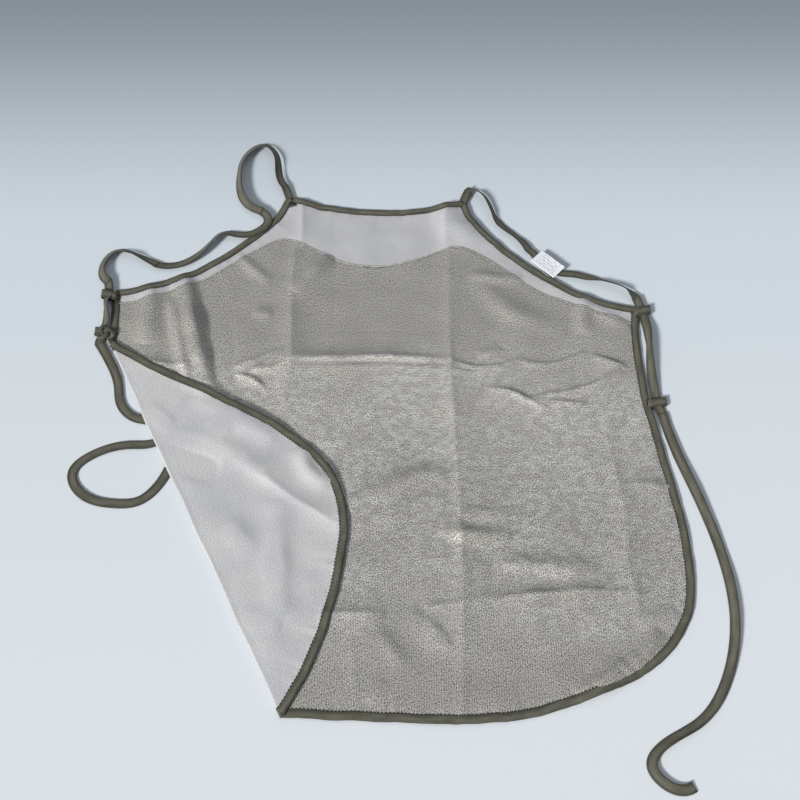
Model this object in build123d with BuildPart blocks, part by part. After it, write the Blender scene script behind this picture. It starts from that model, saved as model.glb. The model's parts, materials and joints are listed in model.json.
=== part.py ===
"""A radiation shielding apron, laid flat with its inner side up and one lower corner folded over.

Millimetres. The origin is the middle of the bottom hem on the surface the apron lies on.
+X runs to the right along the hem, +Y from the hem to the neck, +Z up.
"""
from build123d import *
from math import cos, radians, sin
import os

# ---- driving dimensions -------------------------------------------------------------------
BIB_HALF = 115.5          # half the width of the neck edge
BIB_TOP = 680.0           # neck corners, measured from the hem
NECK_DIP = 19.0           # how far the neck edge curves down in the middle
UNDERARM_HALF = 326.0     # half the width where armhole and side meet
UNDERARM_Y = 520.0
WIDEST_HALF = 350.0       # half the width at the hips
WIDEST_Y = 198.0
HEM_HALF = 85.0           # half the length of the straight stretch of hem
SKEW = 0.04               # the cloth lies this much out of square: Y drops by SKEW times X

TAPE_WIDTH = 12.0         # straps, ties and loops are one width of tape
BINDING_WIDTH = 9.0       # the tape folded over the raw edge
SHEET_INSET = 2.0         # the sheets end this far inside the folded tape
SLOT_INSET = 1.5          # the fold of the tape starts this far in
STITCH_INSET = 7.2        # the sewing line, in from the apron's edge
THREAD = 0.6              # width of a sewn line
THREAD_RISE = 0.3         # how far a sewn line stands up

FOLD_FOOT = (-88.0, 3.5)  # where the fold crosses the hem
FOLD_ANGLE = 117.0        # direction of the fold, from +X, going up the left side
FOLD_AXIS_Z = 4.3         # height of the axis the flap turns about
FOLD_GAP = 1.2            # each sheet stops this far from the fold line
FLAP_LIFT = 1.3           # the open flap rides this much higher, clear of the tie beneath it

# ---- layers, from the table up --------------------------------------------------------------
TIE_Z = 0.5               # underside of the ties
TIE_THICK = 0.6
SHELL_Z = 1.6             # underside of the outer shell
SHELL_THICK = 0.4
LINING_Z = 2.05           # underside of the shielding lining
LINING_THICK = 0.45
SLOT_Z = 1.5              # the slot in the binding that holds the two sheets
SLOT_HEIGHT = 1.1
BINDING_HEIGHT = 3.0
STRAP_Z = 4.4             # underside of the shoulder straps
STRAP_THICK = 0.8
LABEL_Z = 5.9
LABEL_THICK = 0.3

# ---- the cut of the apron, right half, square to the centre line ------------------------------
NECK = [(0, BIB_TOP - NECK_DIP), (60, BIB_TOP - 0.74 * NECK_DIP), (BIB_HALF, BIB_TOP)]
ARMHOLE = [(BIB_HALF, BIB_TOP), (132, 643), (170, 602), (222, 559), (275, 532), (UNDERARM_HALF, UNDERARM_Y)]
SIDE = [
    (UNDERARM_HALF, UNDERARM_Y),
    (322, 455),
    (327, 375),
    (340, 290),
    (WIDEST_HALF, WIDEST_Y),
    (341, 125),
    (311, 80),
    (255, 43),
    (175, 13),
    (125, 3),
    (HEM_HALF, 0),
]
# The lining's top edge dips in the middle of the bib and runs down inside both armholes.
LINING_TOP = [
    (-345, 511),
    (-268, 523),
    (-208, 559),
    (-119, 610),
    (-51, 580),
    (0, 571),
    (60, 587),
    (103, 604),
    (151, 581),
    (212, 536),
    (266, 519),
    (345, 486),
]

# ---- where the straps run, as they lie --------------------------------------------------------
RIGHT_UPPER_STRAP = [(121, 691), (139, 685), (149, 664), (159, 639), (184, 612), (194, 595)]
RIGHT_STRAP_UNDER_LABEL = [(200, 590), (210, 575), (222, 564), (241, 558)]
RIGHT_LOWER_STRAP = [(249, 557), (282, 548), (312, 534), (324, 519)]
LEFT_STRAP_LOOP = [(-119, 697), (-129, 723), (-134, 752), (-151, 770), (-172, 755), (-181, 715), (-172, 674), (-147, 656)]
LEFT_STRAP_MIDDLE = [
    (-141, 650),
    (-139, 638),
    (-150, 625),
    (-166, 618),
    (-195, 620),
    (-213, 600),
    (-238, 577),
    (-266, 570.5),
]
LEFT_SHOULDER_STRAP = [(-274, 572), (-300, 586), (-330, 592), (-343, 570), (-332, 545)]
LEFT_TIE = [
    (-334, 457),
    (-316, 428),
    (-303, 398),
    (-297, 372),
    (-276, 352),
    (-250, 346),
    (-239, 334),
    (-250, 321),
    (-280, 317),
    (-318, 306),
    (-341, 282),
    (-328, 256),
    (-290, 243),
    (-262, 246),
    (-243, 264),
    (-232, 287),
]
RIGHT_TIE = [
    (338, 358),
    (344, 325),
    (366, 250),
    (386, 160),
    (376, 60),
    (334, -2),
    (299, -22),
    (282, -43),
    (293, -61),
    (322, -64),
]
LABEL_CORNERS = [(196, 577), (214, 589), (242, 566), (223, 550)]


def lie(x, y):
    """Where a point of the square-cut apron comes to lie."""
    return (x, y - SKEW * x)


def mirrored(points):
    """The same points on the left side, in the opposite order."""
    return [(-x, y) for x, y in reversed(points)]


# The whole edge, clockwise from the left neck corner; each stretch ends where the next begins.
STRETCHES = [
    mirrored(NECK) + NECK[1:],
    ARMHOLE,
    SIDE,
    [(HEM_HALF, 0), (-HEM_HALF, 0)],
    mirrored(SIDE),
    mirrored(ARMHOLE),
]


def drawn_in(distance):
    """The points of the whole edge, each moved in by a distance from both of its neighbours' lines."""
    loop = [Vector(*point) for stretch in STRETCHES for point in stretch[:-1]]
    moved = []
    for before, here, after in zip(loop[-1:] + loop[:-1], loop, loop[1:] + loop[:1]):
        arriving = (here - before).normalized().rotate(Axis.Z, -90)
        leaving = (after - here).normalized().rotate(Axis.Z, -90)
        moved.append(here + (arriving + leaving) * (distance / (1 + arriving.dot(leaving))))
    return [lie(point.X, point.Y) for point in moved]


def inset(distance):
    """The apron's whole shape, opened out flat and drawn in from its edge by a distance."""
    points = drawn_in(distance)
    points.append(points[0])
    with BuildSketch() as shape:
        with BuildLine():
            start = 0
            for stretch in STRETCHES:
                end = start + len(stretch)
                if len(stretch) == 2:
                    Line(*points[start:end])
                else:
                    Spline(*points[start:end])
                start = end - 1
        make_face()
    return shape.sketch


def edge_strip(outer, inner):
    """The strip of the apron between two distances in from its edge."""
    outside, inside = inset(outer), inset(inner)
    with BuildSketch() as strip:
        add(outside)
        add(inside, mode=Mode.SUBTRACT)
    return strip.sketch


def region(*points):
    """A straight-sided area that picks out one stretch of the apron."""
    with BuildSketch() as area:
        with BuildLine():
            Polyline(*points, close=True)
        make_face()
    return area.sketch


def fold_side(side):
    """The area on one side of the fold line: +1 is the body of the apron, -1 the flap."""
    along = Vector(cos(radians(FOLD_ANGLE)), sin(radians(FOLD_ANGLE)))
    across = Vector(sin(radians(FOLD_ANGLE)), -cos(radians(FOLD_ANGLE))) * side
    near = Vector(*FOLD_FOOT) + across * FOLD_GAP
    corners = [near - along * 400, near + along * 1200, near + along * 1200 + across * 1500]
    corners.append(near - along * 400 + across * 1500)
    return region(*[(corner.X, corner.Y) for corner in corners])


def folded_plane():
    """The plane the flap is drawn in: the table's plane, turned half way round about the fold."""
    along = Vector(cos(radians(FOLD_ANGLE)), sin(radians(FOLD_ANGLE)), 0)
    foot = Vector(FOLD_FOOT[0], FOLD_FOOT[1], FOLD_AXIS_Z)
    origin = (foot - along * foot.dot(along)) * 2
    return Plane(origin=origin, x_dir=along * 2 * along.X - Vector(1, 0, 0), z_dir=(0, 0, -1))


def keep(shape, *areas):
    """The part of a flat shape that lies inside every area."""
    with BuildSketch() as kept:
        add(shape)
        for area in areas:
            add(area, mode=Mode.INTERSECT)
    return kept.sketch


def leave_out(shape, *areas):
    """The part of a flat shape that lies outside every area."""
    with BuildSketch() as left:
        add(shape)
        for area in areas:
            add(area, mode=Mode.SUBTRACT)
    return left.sketch


def write(piece, name):
    piece.part.label = name
    export_step(piece.part, f"parts/{name}.step")


def make_sheet(name, shape, z, thickness, base=Plane.XY):
    """One layer of cloth."""
    with BuildPart() as sheet:
        with BuildSketch(base.offset(z)):
            add(shape)
        extrude(amount=thickness)
    write(sheet, name)


def make_binding(name, strip, base=Plane.XY):
    """Tape folded over the edge: a strip with a slot that holds the two sheets."""
    with BuildPart() as binding:
        with BuildSketch(base):
            add(strip)
        extrude(amount=BINDING_HEIGHT)
        with BuildSketch(base.offset(SLOT_Z)):
            add(SLOT_SHAPE)
        extrude(amount=SLOT_HEIGHT, mode=Mode.SUBTRACT)
    write(binding, name)


def make_tape(name, points, z, thickness, round_start=False):
    """A length of flat tape along a curved path. A rounded start is the end that turns in a loop."""
    with BuildPart() as tape:
        with BuildSketch(Plane.XY.offset(z)):
            with BuildLine():
                Spline(*points)
            trace(line_width=TAPE_WIDTH)
            if round_start:
                with Locations(points[0]):
                    Circle(TAPE_WIDTH / 2)
        extrude(amount=thickness)
    write(tape, name)


LOOP_WIDTH = 20.0         # across the tape that runs through
LOOP_HEIGHT = 4.2
LOOP_TAPE = 0.4           # thickness of the loop's own tape
LOOP_LENGTH = 12.0        # along the tape that runs through


def loop_section(centre, z):
    """The cross-section of a flat ring of tape with its opening along Y."""
    with BuildSketch(Plane.XZ.offset(-centre[1])) as section:
        with Locations((centre[0], z + LOOP_HEIGHT / 2)):
            SlotOverall(LOOP_WIDTH, LOOP_HEIGHT)
            SlotOverall(LOOP_WIDTH - 2 * LOOP_TAPE, LOOP_HEIGHT - 2 * LOOP_TAPE, mode=Mode.SUBTRACT)
    return section.sketch


# ---- flat shapes that the pieces share --------------------------------------------------------
SHEET_SHAPE = inset(SHEET_INSET)
SLOT_SHAPE = inset(SLOT_INSET)
BINDING_STRIP = edge_strip(0, BINDING_WIDTH)
STITCH_STRIP = edge_strip(STITCH_INSET, STITCH_INSET + THREAD)
BODY_SIDE = fold_side(1)
FLAP_SIDE = fold_side(-1)
FLAP_PLANE = folded_plane()

# Mitre lines run from the bib and underarm corners to points well inside the apron.
BIB_MITRE_OUT, BIB_MITRE_IN = (124, 699), (91, 625)
UNDERARM_MITRE_OUT, UNDERARM_MITRE_IN = (342, 532), (278, 484)


NECK_CORNERS = [BIB_MITRE_OUT, BIB_MITRE_IN]
NECK_AREA = region(*[lie(*point) for point in NECK_CORNERS + mirrored(NECK_CORNERS)])
ARMHOLE_CORNERS = [BIB_MITRE_OUT, BIB_MITRE_IN, UNDERARM_MITRE_IN, UNDERARM_MITRE_OUT, (400, 720)]
ARMHOLE_AREA = {
    1: region(*[lie(*point) for point in ARMHOLE_CORNERS]),
    -1: region(*[lie(*point) for point in mirrored(ARMHOLE_CORNERS)]),
}
UPPER_LEFT_AREA = region((-420, 440), (-200, 440), (-200, 640), (-420, 640))

with BuildSketch() as lining_area:
    with BuildLine():
        Spline(*[lie(x, y) for x, y in LINING_TOP])
        Polyline(lie(*LINING_TOP[0]), (-420, -60), (420, -60), lie(*LINING_TOP[-1]))
    make_face()
LINING_AREA = lining_area.sketch

# ---- cloth ------------------------------------------------------------------------------------
make_sheet("outer_shell", keep(SHEET_SHAPE, BODY_SIDE), SHELL_Z, SHELL_THICK)
make_sheet("shielding_lining", keep(SHEET_SHAPE, BODY_SIDE, LINING_AREA), LINING_Z, LINING_THICK)
make_sheet("outer_shell_flap", keep(SHEET_SHAPE, FLAP_SIDE), SHELL_Z + FLAP_LIFT, SHELL_THICK, FLAP_PLANE)
make_sheet("shielding_lining_flap", keep(SHEET_SHAPE, FLAP_SIDE), LINING_Z + FLAP_LIFT, LINING_THICK, FLAP_PLANE)

# ---- binding tape and its stitching -----------------------------------------------------------
LOWER_BINDING = leave_out(BINDING_STRIP, NECK_AREA, *ARMHOLE_AREA.values())
LOWER_STITCHES = leave_out(STITCH_STRIP, NECK_AREA, *ARMHOLE_AREA.values())
OPEN_FLAP_PLANE = FLAP_PLANE.offset(FLAP_LIFT)

BINDINGS = {
    "neck": (NECK_AREA,),
    "left_armhole": (ARMHOLE_AREA[-1],),
    "right_armhole": (ARMHOLE_AREA[1],),
}
for place, areas in BINDINGS.items():
    make_binding(f"{place}_binding", keep(BINDING_STRIP, *areas))
    make_sheet(f"{place}_stitching", keep(STITCH_STRIP, *areas), BINDING_HEIGHT, THREAD_RISE)

make_binding("left_side_binding", keep(LOWER_BINDING, BODY_SIDE, UPPER_LEFT_AREA))
make_sheet("left_side_stitching", keep(LOWER_STITCHES, BODY_SIDE, UPPER_LEFT_AREA), BINDING_HEIGHT, THREAD_RISE)
make_binding("hem_binding", leave_out(keep(LOWER_BINDING, BODY_SIDE), UPPER_LEFT_AREA))
make_sheet(
    "hem_stitching",
    leave_out(keep(LOWER_STITCHES, BODY_SIDE), UPPER_LEFT_AREA),
    BINDING_HEIGHT,
    THREAD_RISE,
)
make_binding("flap_binding", keep(LOWER_BINDING, FLAP_SIDE), OPEN_FLAP_PLANE)
make_sheet("flap_stitching", keep(LOWER_STITCHES, FLAP_SIDE), -THREAD_RISE, THREAD_RISE, OPEN_FLAP_PLANE)

# The lining's turned edge is sewn down along a line that follows it.
LINING_SEAM_DROP = 3.0
with BuildSketch() as seam:
    with BuildLine():
        Spline(*[lie(x, y - LINING_SEAM_DROP) for x, y in LINING_TOP])
    trace(line_width=THREAD)
    add(inset(BINDING_WIDTH + 0.5), mode=Mode.INTERSECT)
make_sheet("lining_edge_stitching", seam.sketch, LINING_Z + LINING_THICK, THREAD_RISE)

# ---- straps and ties --------------------------------------------------------------------------
make_tape("right_upper_strap", RIGHT_UPPER_STRAP, STRAP_Z, STRAP_THICK)
make_tape("right_strap_under_label", RIGHT_STRAP_UNDER_LABEL, STRAP_Z, STRAP_THICK)
make_tape("right_lower_strap", RIGHT_LOWER_STRAP, STRAP_Z, STRAP_THICK)
make_tape("left_strap_loop", LEFT_STRAP_LOOP, STRAP_Z, STRAP_THICK)
make_tape("left_strap_middle", LEFT_STRAP_MIDDLE, STRAP_Z, STRAP_THICK)
make_tape("left_shoulder_strap", LEFT_SHOULDER_STRAP, STRAP_Z, STRAP_THICK)
make_tape("left_tie", LEFT_TIE, TIE_Z, TIE_THICK, round_start=True)
make_tape("right_tie", RIGHT_TIE, TIE_Z, TIE_THICK, round_start=True)

# Each strap starts as a tab sewn flat on its bib corner.
STRAP_END_LENGTH = 22.0
STRAP_END_ANGLE = 72.0    # the tab's direction, from +X
for side, hand in ((-1, "left"), (1, "right")):
    corner = lie(side * (BIB_HALF - 4), BIB_TOP - 8)
    lean = STRAP_END_ANGLE if side > 0 else 180 - STRAP_END_ANGLE
    with BuildPart() as strap_end:
        with BuildSketch(Plane.XY.offset(BINDING_HEIGHT + THREAD_RISE)):
            with Locations(Location(corner, lean)):
                Rectangle(STRAP_END_LENGTH, TAPE_WIDTH - 2)
        extrude(amount=STRAP_THICK)
    write(strap_end, f"{hand}_strap_end")

# ---- loops ------------------------------------------------------------------------------------
UNDERARM_LOOP_Z = BINDING_HEIGHT + THREAD_RISE
UNDERARM_LOOP = {-1: (-329, 524), 1: (329, 500)}
WAIST_LOOP = {-1: (-334, 470), 1: (338, 371)}
LOOP_TAB_LENGTH = 20.0    # the waist loop's end that is sewn on the side edge

for side, hand in ((-1, "left"), (1, "right")):
    with BuildPart() as underarm_loop:
        extrude(loop_section(UNDERARM_LOOP[side], UNDERARM_LOOP_Z), amount=LOOP_LENGTH / 2, both=True)
    write(underarm_loop, f"{hand}_underarm_loop")

    with BuildPart() as waist_loop:
        extrude(loop_section(WAIST_LOOP[side], 0), amount=LOOP_LENGTH / 2, both=True)
        tab_middle = WAIST_LOOP[side][0] - side * LOOP_TAB_LENGTH / 2
        with BuildSketch(Plane.XY.offset(LOOP_HEIGHT - LOOP_TAPE)):
            with Locations((tab_middle, WAIST_LOOP[side][1])):
                Rectangle(LOOP_TAB_LENGTH, LOOP_LENGTH)
        extrude(amount=LOOP_TAPE)
    write(waist_loop, f"{hand}_waist_loop")

    # The strap runs down the side, through both loops, from over the edge to beside it.
    top = Vector(UNDERARM_LOOP[side][0], UNDERARM_LOOP[side][1] + LOOP_LENGTH / 2)
    bottom = Vector(WAIST_LOOP[side][0], WAIST_LOOP[side][1] - LOOP_LENGTH / 2)
    run = (bottom - top).length
    slope_start, slope_end = LOOP_LENGTH + 2, run - LOOP_LENGTH - 2
    side_plane = Plane(origin=top, x_dir=bottom - top, z_dir=(bottom - top).rotate(Axis.Z, -90))
    with BuildPart() as side_strap:
        with BuildSketch(side_plane):
            with BuildLine():
                Line((0, STRAP_Z), (slope_start, STRAP_Z))
                Spline((slope_start, STRAP_Z), (slope_end, TIE_Z), tangents=[(1, 0), (1, 0)])
                Line((slope_end, TIE_Z), (run, TIE_Z))
                Line((run, TIE_Z), (run, TIE_Z + TIE_THICK))
                Line((run, TIE_Z + TIE_THICK), (slope_end, TIE_Z + TIE_THICK))
                Spline(
                    (slope_end, TIE_Z + TIE_THICK),
                    (slope_start, STRAP_Z + STRAP_THICK),
                    tangents=[(-1, 0), (-1, 0)],
                )
                Line((slope_start, STRAP_Z + STRAP_THICK), (0, STRAP_Z + STRAP_THICK))
                Line((0, STRAP_Z + STRAP_THICK), (0, STRAP_Z))
            make_face()
        extrude(amount=TAPE_WIDTH / 2, both=True)
    write(side_strap, f"{hand}_side_strap")

# ---- care label -------------------------------------------------------------------------------
with BuildPart() as care_label:
    with BuildSketch(Plane.XY.offset(LABEL_Z)):
        with BuildLine():
            Polyline(*LABEL_CORNERS, close=True)
        make_face()
    extrude(amount=LABEL_THICK)
write(care_label, "care_label")

# The label's root is sewn into the armhole binding and stands up beside the strap.
LABEL_ROOT_THICK = 0.4
LABEL_ROOT_INWARD = 1.0
LABEL_ROOT_GAP = 0.8      # left above the root, so that the label can turn over
root_start, root_end = Vector(*LABEL_CORNERS[0]), Vector(*LABEL_CORNERS[3])
inward = (root_end - root_start).normalized().rotate(Axis.Z, -90) * LABEL_ROOT_INWARD
with BuildPart() as label_root:
    with BuildSketch(Plane.XY.offset(BINDING_HEIGHT)):
        with BuildLine():
            Line(root_start + inward, root_end + inward)
        trace(line_width=LABEL_ROOT_THICK)
    extrude(amount=LABEL_Z - BINDING_HEIGHT - LABEL_ROOT_GAP)
write(label_root, "label_root")

# ---- bar tacks: dense stitching that holds each strap end and each waist loop ------------------
TACK_LENGTH, TACK_WIDTH = 8.0, 1.4
with BuildPart() as bar_tacks:
    for side in (-1, 1):
        corner = lie(side * (BIB_HALF - 4), BIB_TOP - 8)
        lean = STRAP_END_ANGLE if side > 0 else 180 - STRAP_END_ANGLE
        with BuildSketch(Plane.XY.offset(BINDING_HEIGHT + THREAD_RISE + STRAP_THICK)):
            with Locations(Location(corner, lean)):
                with Locations((-STRAP_END_LENGTH * 0.3, 0), (STRAP_END_LENGTH * 0.05, 0)):
                    Rectangle(TACK_WIDTH, TACK_LENGTH)
        extrude(amount=THREAD_RISE)
        tack_x = WAIST_LOOP[side][0] - side * (LOOP_TAB_LENGTH - 3)
        with BuildSketch(Plane.XY.offset(LOOP_HEIGHT)):
            with Locations((tack_x, WAIST_LOOP[side][1])):
                Rectangle(TACK_WIDTH, TACK_LENGTH)
        extrude(amount=THREAD_RISE)
write(bar_tacks, "bar_tacks")
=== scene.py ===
"""The looks of a radiation apron laid flat: cloth, bound edges, stitching, straps, loops and label."""
import itertools
import json
import math

import bpy
import numpy as np
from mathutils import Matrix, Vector, kdtree


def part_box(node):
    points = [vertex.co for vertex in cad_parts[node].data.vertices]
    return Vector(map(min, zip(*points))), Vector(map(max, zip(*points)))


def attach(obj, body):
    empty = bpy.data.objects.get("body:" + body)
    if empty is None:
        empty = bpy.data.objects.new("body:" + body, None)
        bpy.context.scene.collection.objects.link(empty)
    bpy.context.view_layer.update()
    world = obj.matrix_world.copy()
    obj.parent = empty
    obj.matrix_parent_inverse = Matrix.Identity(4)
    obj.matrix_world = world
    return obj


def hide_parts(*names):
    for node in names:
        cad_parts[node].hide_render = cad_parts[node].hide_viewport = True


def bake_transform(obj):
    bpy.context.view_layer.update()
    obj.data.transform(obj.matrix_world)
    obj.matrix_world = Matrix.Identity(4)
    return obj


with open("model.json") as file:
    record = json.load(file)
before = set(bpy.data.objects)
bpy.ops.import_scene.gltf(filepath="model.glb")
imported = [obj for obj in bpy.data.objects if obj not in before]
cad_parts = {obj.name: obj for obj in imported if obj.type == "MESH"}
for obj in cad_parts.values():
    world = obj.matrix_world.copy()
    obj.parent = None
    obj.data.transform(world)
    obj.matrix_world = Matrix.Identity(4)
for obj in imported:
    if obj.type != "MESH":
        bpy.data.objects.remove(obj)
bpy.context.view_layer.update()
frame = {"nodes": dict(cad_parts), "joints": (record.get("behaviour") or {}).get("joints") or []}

MM = 0.001
UV_UNIT = 0.1                 # one UV unit is this many metres
JOINTS = {joint["name"]: joint for joint in frame["joints"]}
rng = np.random.default_rng(7)

# ---- layers and sizes, in millimetres
CLOTH_Z = 2.0                 # top of the outer cloth where it lies flat, inner side up
CLOTH_THICK = 0.35
LAYER_GAP = 0.08              # between the two layers of the flap
LINING_RISE = 0.5             # top of the lining above the top of the outer cloth
FLAP_EDGE_Z = 5.0             # the folded flap, out at its bound edge
FOLD_PUFF = 1.1               # how much higher the fold stands in the middle of its length
FLAP_CEILING = 6.0            # the highest the flap may stand at its crease
FLAP_CEILING_SLOPE = 0.035    # opened out, the flap still leans by 2 degrees
CEILING_SOFTNESS = 0.5
GRID = 2.3                    # spacing of the cloth's mesh
RETURN_LENGTH = 6.0           # cloth of the flap piece that runs under the fold, onto the body
BINDING_HALF_WIDTH = 4.6
BINDING_HALF_THICK = 1.15
BINDING_SHADOW = (4.5, 10.0)  # the binding draws the cloth in up to the first distance, not past the second
EDGE_SETTLE = 8.0             # how far the lining draws back from the armholes, where its folds pull on it
LEFT_SETTLE = 6.0             # and how much more at the middle of the left one
STITCH_PITCH = 4.0
STITCH_LENGTH = 2.4
STITCH_FROM_MIDDLE = 4.8      # the sewing line, from the middle of the tape towards the cloth
TAPE_HALF_WIDTH = 5.3
LABEL_LENGTH, LABEL_REACH, LABEL_CURL = 38.2, 22.0, 2.6


# ---- shapes read from the frame
def welded(mesh):
    """A mesh's distinct corners, in millimetres, and which of them each of its vertices is."""
    merged, index = {}, []
    for point in np.round(np.array([vertex.co for vertex in mesh.vertices]) / MM, 3):
        index.append(merged.setdefault(tuple(point), len(merged)))
    return np.array(list(merged)), index


def top_ring(node):
    """The outline of a CAD node's flat top, in order, in millimetres."""
    mesh = frame["nodes"][node].data
    points, index = welded(mesh)
    level = points[:, 2].max()
    uses = {}
    for polygon in mesh.polygons:
        corners = [index[vertex] for vertex in polygon.vertices]
        if all(level - points[corner][2] < 0.02 for corner in corners):
            for edge in zip(corners, corners[1:] + corners[:1]):
                uses[frozenset(edge)] = uses.get(frozenset(edge), 0) + 1
    neighbours = {}
    for edge in (edge for edge, count in uses.items() if count == 1 and len(edge) == 2):
        for a, b in itertools.permutations(sorted(edge)):
            neighbours.setdefault(a, []).append(b)
    ring = [min(neighbours)]
    while len(ring) < 2 or ring[-1] != ring[0]:
        ring.append(next(other for other in neighbours[ring[-1]] if other not in ring[-2:-1]))
    return points[ring[:-1]][:, :2]


def unit(vectors):
    return vectors / np.maximum(np.linalg.norm(vectors, axis=1, keepdims=True), 1e-12)


def directions(path):
    return unit(np.gradient(path, axis=0))


def to_left(ahead):
    """The level directions square to some others, on their left."""
    return np.column_stack([-ahead[:, 1], ahead[:, 0]])


def lengths_along(path):
    steps = np.linalg.norm(np.diff(path, axis=0), axis=1)
    return np.concatenate([[0.0], np.cumsum(steps)])


def resample(path, step):
    """The same path as points an even step apart."""
    along = lengths_along(path)
    count = max(int(round(along[-1] / step)), 2) + 1
    even = np.linspace(0, along[-1], count)
    return np.stack([np.interp(even, along, path[:, k]) for k in range(path.shape[1])], axis=1)


def smooth(path, rounds):
    """Eases the small corners out of a path and keeps its ends."""
    path = path.copy()
    for _ in range(rounds):
        path[1:-1] = 0.25 * path[:-2] + 0.5 * path[1:-1] + 0.25 * path[2:]
    return path


def centre_line(node, pivot=None, step=1.5, apart=2.0):
    """The middle line of a band-shaped CAD node. A band that turns in a loop is rounded at its pivot."""
    ring = top_ring(node)
    arriving = ring - np.roll(ring, 1, axis=0)
    leaving = np.roll(ring, -1, axis=0) - ring
    cross = arriving[:, 0] * leaving[:, 1] - arriving[:, 1] * leaving[:, 0]
    turning = np.abs(np.arctan2(cross, (arriving * leaving).sum(axis=1)))
    order = []
    for corner in np.argsort(-turning):
        if all(np.linalg.norm(ring[corner] - ring[other]) > apart for other in order):
            order.append(corner)
        if len(order) == (4 if pivot is None else 2):
            break
    order.sort()
    ring = np.roll(ring, -order[0], axis=0)
    cuts = [corner - order[0] for corner in order] + [len(ring)]
    closed = np.vstack([ring, ring[:1]])
    stretches = [closed[a:b + 1] for a, b in zip(cuts, cuts[1:])]
    if pivot is not None:
        far_end = min(stretches, key=lambda part: lengths_along(part)[-1])
        around = max(stretches, key=lambda part: lengths_along(part)[-1])
        near = np.linalg.norm(around - pivot, axis=1) < 6.4
        first, last = np.flatnonzero(near)[[0, -1]]
        one, other = around[:first][::-1], around[last + 1:]
        ends = [np.array(pivot), far_end.mean(axis=0)]
    else:
        lengths = [lengths_along(part)[-1] for part in stretches]
        long_first = lengths[0] + lengths[2] > lengths[1] + lengths[3]
        one, other = (stretches[0], stretches[2]) if long_first else (stretches[1], stretches[3])
        other = other[::-1]
        ends = [(one[0] + other[0]) / 2, (one[-1] + other[-1]) / 2]
    one, other = resample(one, step), resample(other, 0.3)
    gaps = np.linalg.norm(one[:, None] - other[None], axis=2)
    nearest = gaps.argmin(axis=1)
    width = gaps.min(axis=1)
    good = np.abs(width - np.median(width)) < 0.2 * np.median(width)
    middle = (one[good] + other[nearest[good]]) / 2
    middle = middle[np.linalg.norm(middle - ends[0], axis=1) > step]
    middle = middle[np.linalg.norm(middle - ends[1], axis=1) > step]
    return smooth(resample(np.vstack([ends[0], middle, ends[1]]), step), 4)


def inside(points, ring):
    """Whether each point lies inside a ring."""
    hits = np.zeros(len(points), bool)
    for (x0, y0), (x1, y1) in zip(ring, np.roll(ring, -1, axis=0)):
        if y0 == y1:
            continue
        crosses = (points[:, 1] >= min(y0, y1)) & (points[:, 1] < max(y0, y1))
        at = x0 + (points[:, 1] - y0) * (x1 - x0) / (y1 - y0)
        hits ^= crosses & (points[:, 0] < at)
    return hits


def nearest_on(path, points):
    """Distance from each point to a finely sampled path, and the length along it there."""
    tree = kdtree.KDTree(len(path))
    for number, point in enumerate(path):
        tree.insert((point[0], point[1], 0), number)
    tree.balance()
    found = [tree.find((x, y, 0)) for x, y in points]
    distance = np.array([hit[2] for hit in found])
    return distance, lengths_along(path)[[hit[1] for hit in found]]


BODY_RING = top_ring("outer_shell")
LINING_RING = top_ring("shielding_lining")
FLAP_RING = top_ring("outer_shell_flap")
fold_joint = JOINTS["flap_fold"]
FOLD_FOOT = np.array(fold_joint["pos_m"][:2]) / MM
FOLD_ALONG = -np.array(fold_joint["axis"][:2])        # up the left side, from the hem
FOLD_ACROSS = np.array([FOLD_ALONG[1], -FOLD_ALONG[0]])   # towards the body of the apron
FOLD_LENGTH = ((FLAP_RING - FOLD_FOOT) @ FOLD_ALONG).max()


def past_fold(points):
    """How far points lie from the fold, towards the body of the apron."""
    return (points - FOLD_FOOT) @ FOLD_ACROSS


def at_fold(along, across):
    """Points from their lengths along the fold and across it."""
    return FOLD_FOOT + along[:, None] * FOLD_ALONG + across[:, None] * FOLD_ACROSS


def crossed(first, second):
    """Every pairing of two lists of values, as two flat arrays."""
    return (part.ravel() for part in np.meshgrid(first, second, indexing="ij"))


def smoothstep(value, low, high):
    t = np.clip((value - low) / (high - low), 0, 1)
    return t * t * (3 - 2 * t)


def wobble(length, scale, seed):
    """Smooth random numbers along a length, each about one scale apart, between -1 and 1."""
    generator = np.random.default_rng(seed)
    knots = generator.uniform(-1, 1, int(np.max(length) / scale) + 4)
    at = np.asarray(length) / scale
    whole = np.floor(at).astype(int)
    t = smoothstep(at - whole, 0, 1)
    return knots[whole] * (1 - t) + knots[whole + 1] * t


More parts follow.
